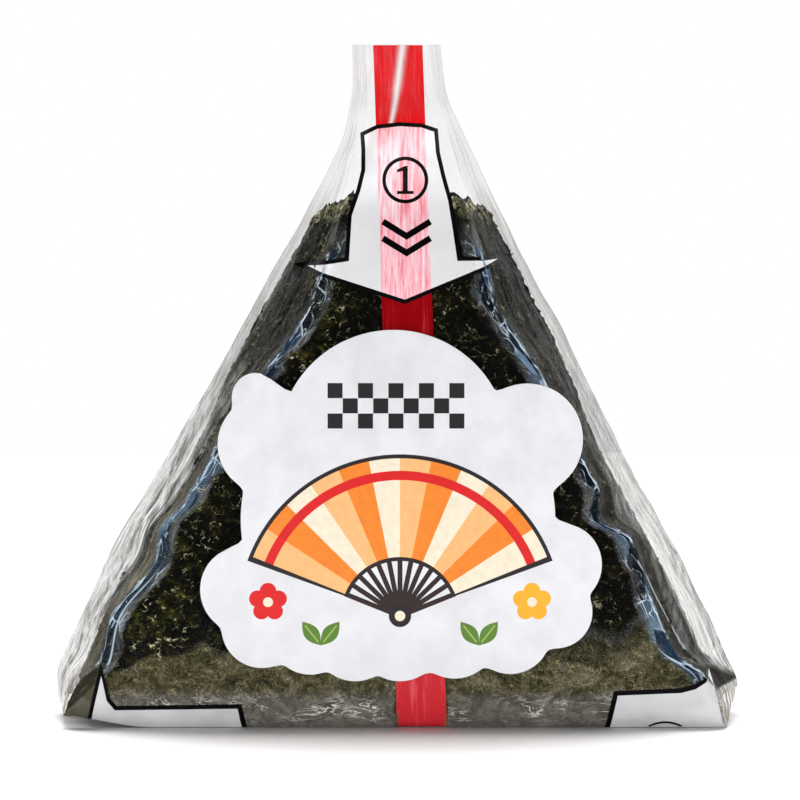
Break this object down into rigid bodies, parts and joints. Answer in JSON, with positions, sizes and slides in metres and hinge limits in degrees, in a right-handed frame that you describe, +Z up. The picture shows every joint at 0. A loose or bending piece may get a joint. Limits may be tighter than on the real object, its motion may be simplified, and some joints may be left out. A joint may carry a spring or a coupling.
{
  "type": "wrapped onigiri rice ball",
  "caption": "Triangular seaweed rice ball sealed in clear film, standing on its base, with a pull tab at the top, a red tear tape and a die-cut label.",
  "frame": {"origin": "under the middle of the base, on the surface that the pack stands on", "axes": "+Z up through the pull tab, -Y out of the front face that carries the label, +X to the right as seen from the front"},
  "size_m": [0.1059, 0.0354, 0.104],
  "materials": {
    "film": "clear crinkled film with light streaks, bluish creases at the folds and a grey-olive overlap at the foot",
    "print": "white ink with black outlines printed on the film, pink where the red tape shows through",
    "nori": "matt toasted seaweed, green-black with olive patches",
    "tear_tape": "see-through red film, finely streaked along its length",
    "label": "smooth white sticker with coloured print"
  },
  "bodies": {
    "root": {"wrapper": "film", "pull_tape": "tear_tape", "label": "label"}
  },
  "joints": []
}
